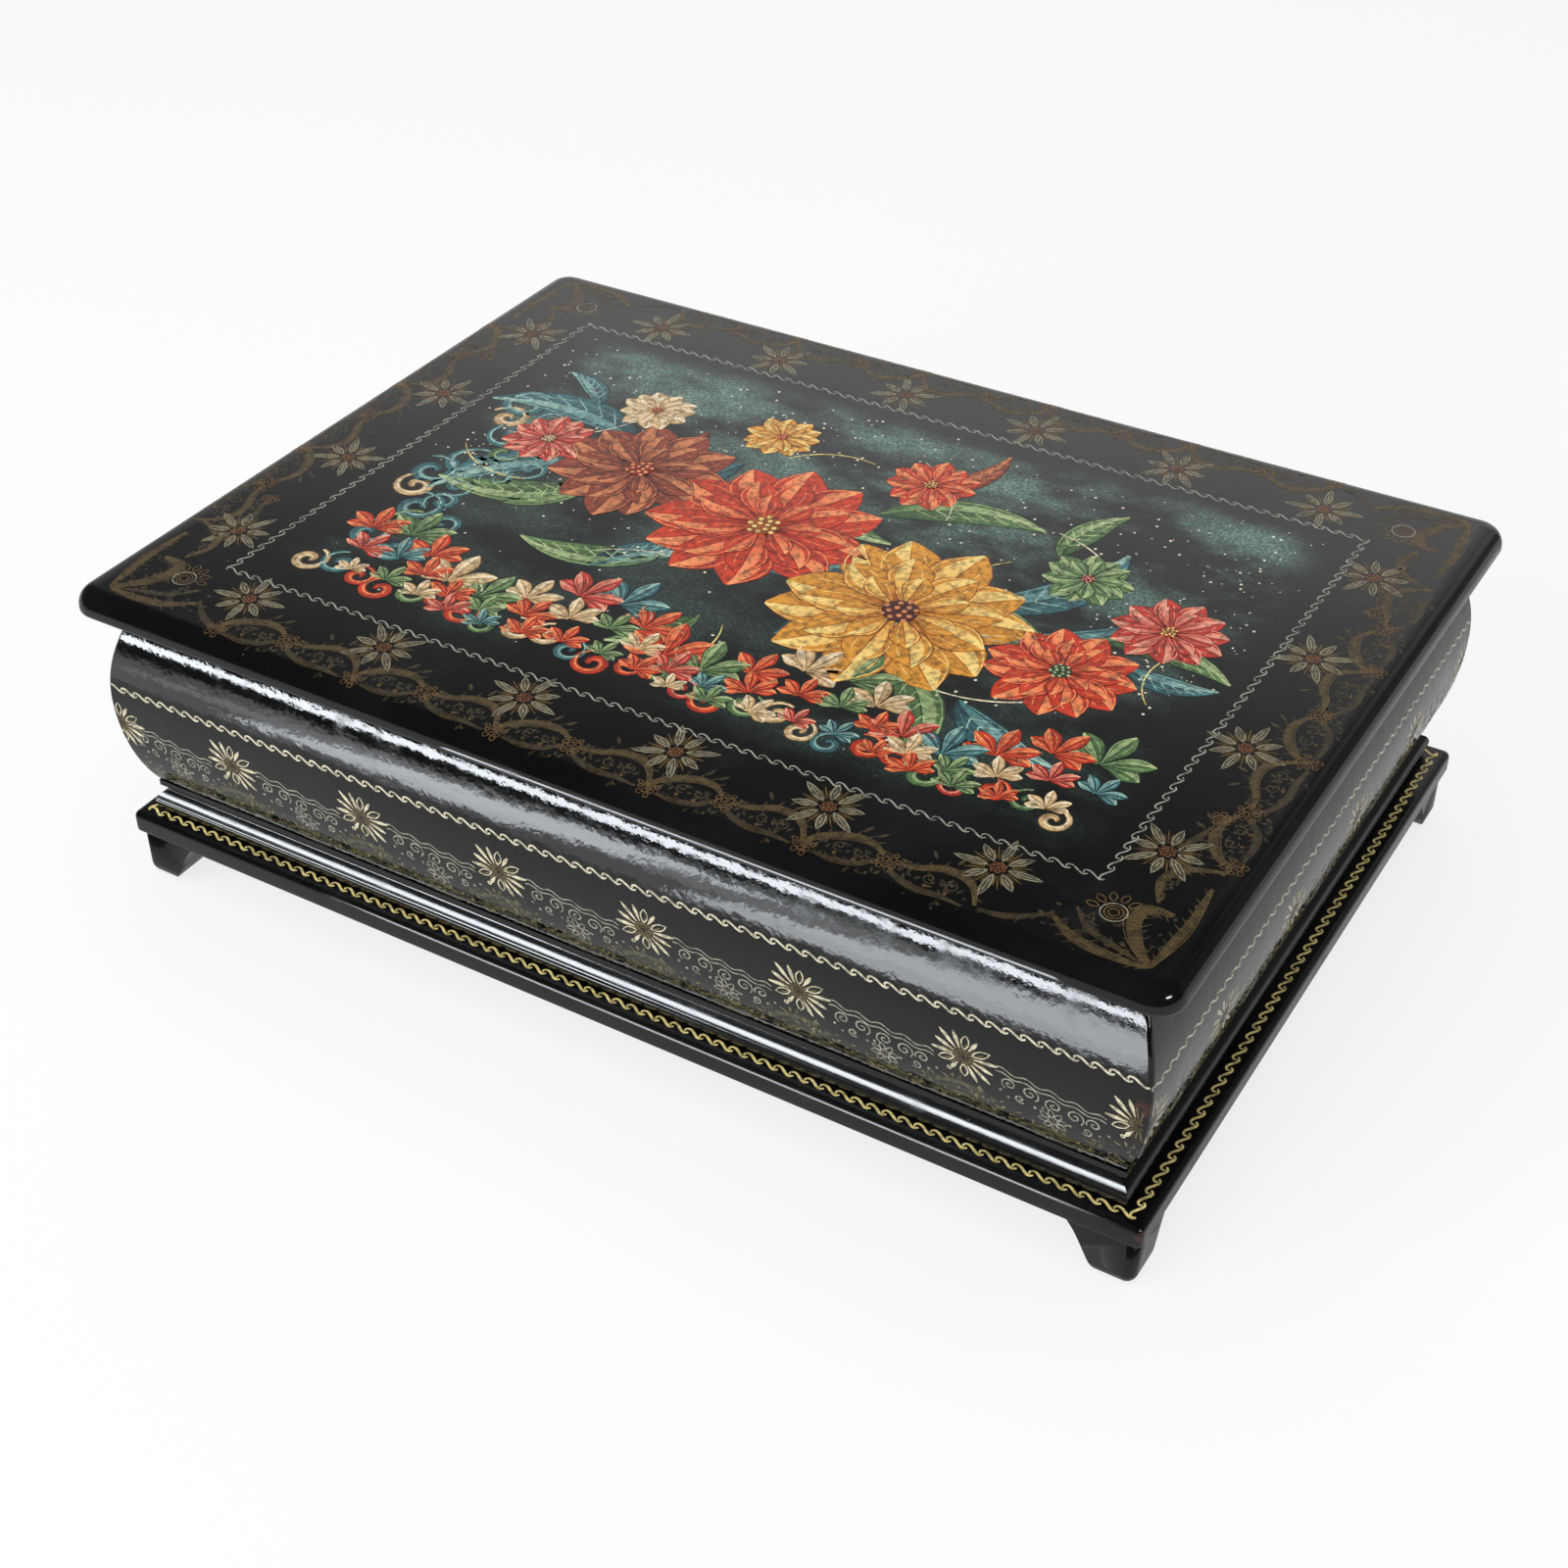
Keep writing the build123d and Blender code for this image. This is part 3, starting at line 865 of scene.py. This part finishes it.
def sprayStrokes(length, bend, dots, name):
    # A thin bending stem with dots along it
    tints = pictureTints[name]
    path = bentPath(0, 0, length, bend, 16)
    strokes = [(path, taper(16, 0.42, 0.4), tints[2], 0.04)]
    for index in range(dots):
        u, v = path[3 + int(12 * index / max(dots - 1, 1))]
        away = 1.5 if index % 2 else -1.5
        strokes.append((ringPath((u, v + away), 0.2, 6), 0.34, dotTint, 0.05))
    return strokes


pictureSheet = newSheet()


def paint(strokes, u, v, angle=0.0, size=1.0, mirror=False):
    stamp(pictureSheet, lidPlace, strokes, (u, v), angle, size, mirror)


# Flame leaves and scrolls along the foot and left of the picture
scrollMaker = random.Random(21)
scrollNames = ("red", "cream", "green", "rose", "red", "teal", "cream", "red", "green")
scrollKinds = {name: scrollStrokes(5.6, name) for name in sorted(set(scrollNames))}
flameKinds = {name: flameStrokes(10.5, name) for name in sorted(set(scrollNames))}
for row in range(3):
    for index in range(20):
        u = -86 + index * 9.1 + 3.2 * row
        crest = -43 - 6.2 * row + (6.5 - 2.4 * row) * math.sin(index * 1.05 + 0.8)
        name = scrollNames[(index * 2 + row * 3) % len(scrollNames)]
        size = scrollMaker.uniform(0.8, 1.15) * (1 - 0.16 * row)
        if u < 93:
            lean = scrollMaker.uniform(-24, 24)
            paint(flameKinds[name], u, max(crest, -58.0), lean, size * (0.8 if row else 1.0))
for index in range(27):
    u = -90 + index * 6.8
    crest = -55 + 2.0 * math.sin(index * 1.6)
    name = scrollNames[(index * 4 + 1) % len(scrollNames)]
    lean = scrollMaker.uniform(-40, 40)
    paint(scrollKinds[name], u, crest, lean, scrollMaker.uniform(0.6, 0.85), index % 2 == 0)
for index in range(10):
    u = -86 + 5.0 * math.sin(index * 1.3)
    v = -40 + index * 7.2
    name = ("teal", "green", "teal", "cream", "teal")[index % 5]
    lean = scrollMaker.uniform(-20, 60)
    paint(scrollKinds[name], u, v, lean, scrollMaker.uniform(0.9, 1.3), index % 2 == 0)
    paint(scrollKinds["teal"], u + 9.5, v - 3.0, scrollMaker.uniform(90, 180), 0.8, index % 2 == 1)

# Long leaves behind the flowers
leafKinds = {
    "tealLong": leafStrokes(34, 8.0, 70, "teal"),
    "greenLong": leafStrokes(30, 7.2, -60, "green"),
    "tealShort": leafStrokes(19, 5.4, 50, "teal"),
    "greenShort": leafStrokes(17, 5.0, -46, "green"),
    "brownLong": leafStrokes(28, 6.0, 60, "brown"),
}
leafPlaces = (
    ("tealLong", -56, 22, 140, 1.0, False), ("tealLong", -58, 10, 188, 0.95, False),
    ("greenLong", -52, 2, 236, 1.0, False), ("brownLong", -44, 34, 96, 0.9, True),
    ("tealLong", -30, 26, 78, 0.9, True), ("greenLong", -14, 28, 118, 0.9, True),
    ("greenLong", 6, 22, 52, 1.0, False), ("tealLong", 22, 12, 64, 1.05, True),
    ("tealLong", 38, 0, 20, 1.0, False), ("greenLong", 34, -24, -24, 1.0, False),
    ("tealLong", 10, -28, 250, 0.8, True), ("greenLong", -24, -14, 230, 0.9, False),
    ("greenLong", 66, 2, 30, 0.8, False), ("tealLong", 70, 10, 74, 0.8, True),
    ("greenLong", 60, -12, -60, 0.85, True), ("tealShort", 74, -4, -24, 0.85, False),
    ("greenShort", 76, 20, 56, 0.8, True), ("tealShort", -72, 32, 118, 0.8, False),
    ("greenShort", 46, 26, 100, 1.1, False), ("tealShort", -36, -26, 250, 1.1, True),
    ("greenShort", -6, -30, 262, 1.0, False), ("brownLong", 8, 34, 32, 0.8, False),
    ("greenShort", -66, -14, 214, 1.2, True), ("tealShort", 52, -30, -50, 1.2, False),
)
for name, u, v, angle, size, mirror in leafPlaces:
    paint(leafKinds[name], u * 1.04, v * 1.04, angle, size * 1.28, mirror)
sprays = (sprayStrokes(30, 60, 8, "cream"), sprayStrokes(24, -70, 7, "gold"))
sprayPlaces = (
    (-64, 30, 70, 1.0), (-24, 34, 60, 0.9), (20, 28, 96, 0.9), (40, 20, 40, 1.1), (64, 20, 110, 0.9),
    (-70, -4, 200, 1.0), (-40, -22, 226, 0.9), (0, -32, 300, 0.8), (44, -30, -12, 1.0), (84, 4, 60, 0.8),
)
for index, (u, v, angle, size) in enumerate(sprayPlaces):
    paint(sprays[index % 2], u, v, angle, size, index % 3 == 0)

# Blossoms, the large ones last: radius, tint, heart, place, angle and rings
blossomPlaces = (
    (12, "rose", "gold", 80, 12, 20, 2), (10, "green", "rose", 57, 22, 75, 2),
    (10.5, "rose", "cream", -76, 14, 10, 2), (10.5, "red", "gold", 10, 40, 33, 2),
    (9, "gold", "red", -30, 42, 14, 2), (9, "cream", "red", -62, 38, 50, 2),
    (16, "red", "green", 67, -12, 44, 3), (21, "brown", "red", -50, 13, 8, 3),
    (25.5, "red", "gold", -13, 6, 30, 3), (27.5, "gold", "brown", 29, -9, 12, 3),
)
for order, (radius, name, heart, u, v, angle, rings) in enumerate(blossomPlaces):
    paint(blossomStrokes(radius, name, heart, rings, order + 3), u, v, angle)

# Stars: cream dots over the misty ground
dotMaker = random.Random(5)
for index in range(620):
    u = dotMaker.uniform(-97, 97)
    v = dotMaker.uniform(-10, 62) if index % 5 else dotMaker.uniform(-60, 60)
    size = dotMaker.choice((0.1, 0.12, 0.16, 0.22))
    paint([(ringPath((0, 0), size, 5), size * 1.4, dotTint, 0.018)], u, v)
makeSheet("lid_bouquet", pictureSheet, picturePaint, "lid")
print("stage: bouquet painted")

# Plinth plate: the bright wave line on its ledge
plateWaves = {"inset": 3.15, "pitch": 3.5, "rise": 0.72, "stroke": 0.54,
              "tint": linear(255, 236, 158), "lift": 0.04}
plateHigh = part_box("plinth_plate")[1]
plateHalfX = plateHigh[0] * 1000 - plateWaves["inset"]
plateHalfY = plateHigh[1] * 1000 - plateWaves["inset"]
platePlace = placeOnTop(plateSurface)
makeWaveFrame("plate_wave_line", platePlace, plateHalfX, plateHalfY, plateWaves, "case")

# Walls: the wave line and the flower band
wallWaves = {"low": 52.8, "high": 53.8, "pitch": 3.5, "rise": 0.6, "stroke": 0.46,
             "tint": linear(232, 226, 198), "lift": 0.04}
bandValues = {
    "level": 43.5,
    "spacing": 35.1,
    "cream": linear(238, 230, 196),
    "silver": linear(176, 174, 156),
    "bronze": linear(138, 126, 82),
    "dim": linear(108, 102, 70),
    "olive": linear(84, 82, 56),
    "moss": linear(56, 56, 40),
    "gold": linear(96, 80, 50),
    # Angle, reach and whether the petal is filled
    "petals": ((180, 5.8, 1), (156, 5.6, 1), (134, 6.4, 1), (112, 5.4, 1), (86, 5.0, 0), (60, 4.8, 1),
               (30, 5.6, 0), (6, 6.2, 1), (-18, 5.6, 1), (-42, 6.4, 1), (-64, 5.6, 1), (-88, 4.8, 0),
               (-122, 4.4, 1), (-156, 5.2, 0)),
    # Place, start angle, turns and size
    "curls": ((9.4, -2.6, 60, 1.5, 1.7), (13.6, -3.0, 120, -1.5, 2.0), (18.4, -3.9, 60, 1.5, 1.9),
              (22.6, -4.6, 130, -1.5, 2.0), (26.4, -4.8, 60, 1.4, 1.6), (11.6, -5.6, 200, 1.3, 1.2),
              (25.0, -7.6, 330, -1.3, 1.2)),
    "dots": ((7.6, -5.0), (9.2, -6.4), (14.6, -6.4), (21.6, -7.8), (27.6, -7.4), (29.4, -6.2),
             (16.2, -5.6)),
    # Half the length that the band may fill on each wall
    "reach": {"front": 122.0, "right": 86.5, "back": 122.0, "left": 86.5},
}


def burstFlower():
    cream, gold = bandValues["cream"], bandValues["gold"]
    motif = []
    for angle, reach, full in bandValues["petals"]:
        if full:
            motif.append((rayPath(angle, 2.2, reach * 1.14, 6), taper(7, 0.86, 0.2, 0.6), cream, 0.04))
        else:
            motif.append((lensPath(angle, 2.0, reach * 1.1, 0.8, 5), 0.26, cream, 0.035))
    for index in range(20):
        ray = rayPath(index * 18 + 9, 1.2, 3.6 + 0.8 * (index % 2), 2)
        motif.append((ray, 0.2, bandValues["bronze"], 0.03))
    for index in range(6):
        centre = (0.8 * math.cos(index * 1.05), 0.8 * math.sin(index * 1.05))
        motif.append((ringPath(centre, 0.3, 5), 0.26, gold, 0.05))
    motif.append((ringPath((-3.0, -4.4), 0.4, 6), 0.3, cream, 0.04))
    return motif


def bandUnit():
    silver, bronze, dim = bandValues["silver"], bandValues["bronze"], bandValues["dim"]
    olive, moss = bandValues["olive"], bandValues["moss"]
    motif = []
    span = bandValues["spacing"]
    for offset, ripple in ((0.0, 0.45), (-1.15, 0.35)):
        line = []
        for index in range(31):
            t = index / 30
            fall = 0.9 + offset - 2.6 * t + ripple * math.sin(2 * math.pi * t * 4.5)
            line.append((6.6 + (span - 12.8) * t, fall))
        motif.append((line, 0.27, silver, 0.035))
    for *centre, start, turns, size in bandValues["curls"]:
        motif.append((spiralPath(centre, start, turns, size), taper(15, 0.34, 0.7), silver, 0.03))
    for centre in bandValues["dots"]:
        motif.append((ringPath(centre, 0.2, 5), 0.32, silver, 0.03))
    middle = (span / 2 + 0.6, -8.3)
    for index in range(8):
        leaf = shifted(lensPath(index * 45 + 10, 0.8, 3.1, 0.6, 4), middle)
        motif.append((leaf, 0.24, silver, 0.04))
    motif.append((ringPath(middle, 0.4, 6), 0.3, bandValues["gold"], 0.045))
    for u, wide, top in ((0.0, 9.6, 8.6), (span / 2, 7.6, 4.4)):
        for step in range(4):
            turns = [math.pi * i / 10 for i in range(11)]
            reach, rise = wide - step * 1.9, top - step * 1.8
            arch = [(u + reach * math.cos(turn), rise * math.sin(turn) - 16.4) for turn in turns]
            motif.append((arch, taper(11, 1.3, 0.5), moss if step % 2 else olive, 0.012))
    maker = random.Random(12)
    for index in range(190):
        u = maker.uniform(-span / 2, span / 2)
        crest = -6.6 - 5.6 * (0.5 - 0.5 * math.cos(2 * math.pi * u / span))
        v = maker.uniform(-17.0, crest)
        angle = maker.uniform(10, 170)
        leaf = shifted(rayPath(angle, 0, maker.uniform(0.8, 1.7)), (u, v))
        widths = [0.16, maker.uniform(0.4, 0.7), 0.16]
        tint = (dim, olive, bronze, moss)[index % 4]
        motif.append((leaf[::2], widths, tint, 0.018 + 0.003 * (index % 4)))
    return motif


wallSheet, flowerSheet, foliageSheet = newSheet(), newSheet(), newSheet()
burst = burstFlower()
band = bandUnit()
level, spacing = bandValues["level"], bandValues["spacing"]
for side, half in bandValues["reach"].items():
    place = placeOnWall(side)
    addWaves(wallSheet, place, (-half, wallWaves["low"]), (half, wallWaves["high"]), wallWaves)
    count = 6 if side in ("front", "back") else 4
    firstSpot = -89.5 if count == 6 else -spacing * 1.5
    for index in range(-1, count + 1):
        # Only what stays on this wall: the walls grow narrower towards their foot
        bandSpot = firstSpot + spacing * index
        burstSpot = min(max(bandSpot, 0.8 - half), half - 0.8)
        for sheet, motif, spot in ((flowerSheet, burst, burstSpot), (foliageSheet, band, bandSpot)):
            inner = []
            for path, widths, tint, lift in motif:
                if all(abs(spot + u) < half - max(-v - 6.0, 0.0) * 0.42 for u, v in path):
                    inner.append((path, widths, tint, lift))
            stamp(sheet, place, inner, (spot, level))
makeSheet("wall_wave_line", wallSheet, linePaint, "case")
makeSheet("wall_burst_flowers", flowerSheet, linePaint, "case")
makeSheet("wall_foliage_band", foliageSheet, linePaint, "case")
print("stage: wall bands painted")

# Floor and light
stageValues = {
    "near": -0.5,
    "far": 3.0,
    "half": 3.0,
    "shades": ((0.88,) * 3, (0.9,) * 3),
    "glow": 0.8,
    "mirrored": 0.55,
}


def makeFloor(name, near, far, material):
    bpy.ops.mesh.primitive_plane_add(size=1.0)
    piece = bpy.context.object
    piece.name = name
    for vertex in piece.data.vertices:
        vertex.co.x *= 2 * stageValues["half"]
        vertex.co.y = near if vertex.co.y < 0 else far
    piece.data.materials.append(material)
    return piece


# The floor glows a little where it is seen, and less in the gloss
floorMaterial, floorShader = newMaterial("pale_floor", {"Roughness": 0.9, "Specular IOR Level": 0.0})
floorCloud = noiseOf(floorMaterial, objectPoint(floorMaterial), 4.0)
join(floorMaterial, mixOf(floorMaterial, floorCloud, *stageValues["shades"]), floorShader, "Base Color")
rays = addNode(floorMaterial, "ShaderNodeLightPath").outputs
direct = mathOf(floorMaterial, "MAXIMUM", rays["Is Camera Ray"], rays["Is Transmission Ray"])
seen = mathOf(floorMaterial, "MAXIMUM", direct, rays["Is Glossy Ray"])
bright = rangeOf(floorMaterial, direct, 0.0, 1.0, stageValues["mirrored"], 1.0)
glow = addNode(floorMaterial, "ShaderNodeEmission", {"Strength": bright}).outputs[0]
share = productOf(floorMaterial, seen, stageValues["glow"])
blend = addNode(floorMaterial, "ShaderNodeMixShader", {0: share, 1: floorShader.outputs[0], 2: glow})
join(floorMaterial, blend.outputs[0], floorMaterial.node_tree.nodes["Material Output"], 0)
floor = makeFloor("pale_floor", stageValues["near"], stageValues["far"], floorMaterial)

# The floor goes on towards the front, where only the camera sees it
frontFloor = makeFloor("pale_floor_front", -stageValues["far"], stageValues["near"], floorMaterial)
frontFloor.visible_diffuse = False
frontFloor.visible_glossy = False

# Two soft lamps light the paint. The cards after them are seen only by the gloss.
# Each line is name, place, the way it faces, size and radiance.
lampValues = (
    ("overhead_soft", (0.0, -0.16, 1.64), (0.0, 0.1, -1.0), (2.4, 2.4), 1.7),
    ("front_soft", (-0.44, -1.26, 0.74), (0.35, 1.0, -0.55), (1.2, 0.7), 5.0),
    ("wall_strip", (-0.02, -0.107, 0.0653), (0.0, 1.0, -0.05), (0.28, 0.003), 22.0),
    ("lid_strip", (0.03, -0.107, 0.061), (0.0, 1.0, 0.6), (0.14, 0.003), 14.0),
    ("moulding_strip", (-0.06, -0.142, 0.083), (0.0, 0.64, -0.768), (0.34, 0.05), 26.0),
    ("plinth_strip", (0.01, -0.125, 0.02), (0.0, 1.0, -0.1), (0.19, 0.02), 13.0),
    ("wall_glare_wide", (-0.12, -0.58, 0.004), (0.0, 0.0, 1.0), (0.46, 0.80), 0.7),
    ("wall_glare_middle", (-0.09, -0.58, 0.0045), (0.0, 0.0, 1.0), (0.34, 0.68), 1.4),
    ("wall_glare_core", (-0.138, -0.325, 0.005), (0.0, 0.0, 1.0), (0.095, 0.25), 7.0),
    ("wall_glare_right", (0.028, -0.445, 0.0055), (0.0, 0.0, 1.0), (0.125, 0.51), 6.4),
    ("corner_card", (0.96, -0.4, 0.6), (-0.8, 0.33, -0.5), (0.3, 0.12), 30.0),
)
for name, spot, facing, size, radiance in lampValues:
    bpy.ops.object.light_add(type="AREA", location=spot)
    lamp = bpy.context.object
    lamp.name = name
    lamp.data.shape = "RECTANGLE"
    lamp.data.size = size[0]
    lamp.data.size_y = size[1]
    lamp.data.energy = radiance * math.pi * size[0] * size[1]
    lamp.rotation_euler = Vector(facing).to_track_quat("-Z", "Y").to_euler()
    soft = name.endswith("soft")
    lamp.data.color = (1.0, 1.0, 1.0) if soft else (0.9, 0.95, 1.0)
    lamp.visible_glossy = not soft
    lamp.visible_diffuse = soft
    lamp.visible_camera = soft
    if name.startswith(("wall", "lid", "moulding", "plinth")):
        # This card is mirrored only in the pieces that it is named after
        group = bpy.data.collections.new(name)
        for nodeName, piece in smoothPieces.items():
            if nodeName.startswith(name.split("_")[0]) and nodeName[4:7] != "rim":
                group.objects.link(piece)
        lamp.light_linking.receiver_collection = group

# The air is dim, and brighter low down behind the box and towards its left, as the lid mirrors it
airValues = {
    "low": (0.40, 0.70, 1.0, 0.04),
    "behind": (0.35, 0.8),
    "leftward": (0.5, -0.05, 0.12, 1.0),
    "glare": 0.82,
    "dim": 0.06,
}
world = bpy.data.worlds.new("studio_air")
scene.world = world
world.use_nodes = True
way = axesOf(world, addNode(world, "ShaderNodeTexCoord").outputs["Generated"])
low = rangeOf(world, way[2], *airValues["low"])
behind = rangeOf(world, way[1], *airValues["behind"])
leftward = rangeOf(world, way[0], *airValues["leftward"])
glare = productOf(world, low, behind, leftward)
strength = mathOf(world, "MULTIPLY_ADD", glare, airValues["glare"], airValues["dim"])
background = world.node_tree.nodes["Background"]
join(world, strength, background, "Strength")
background.inputs["Color"].default_value = (1.0, 1.0, 1.0, 1.0)
print("stage: floor and light set")
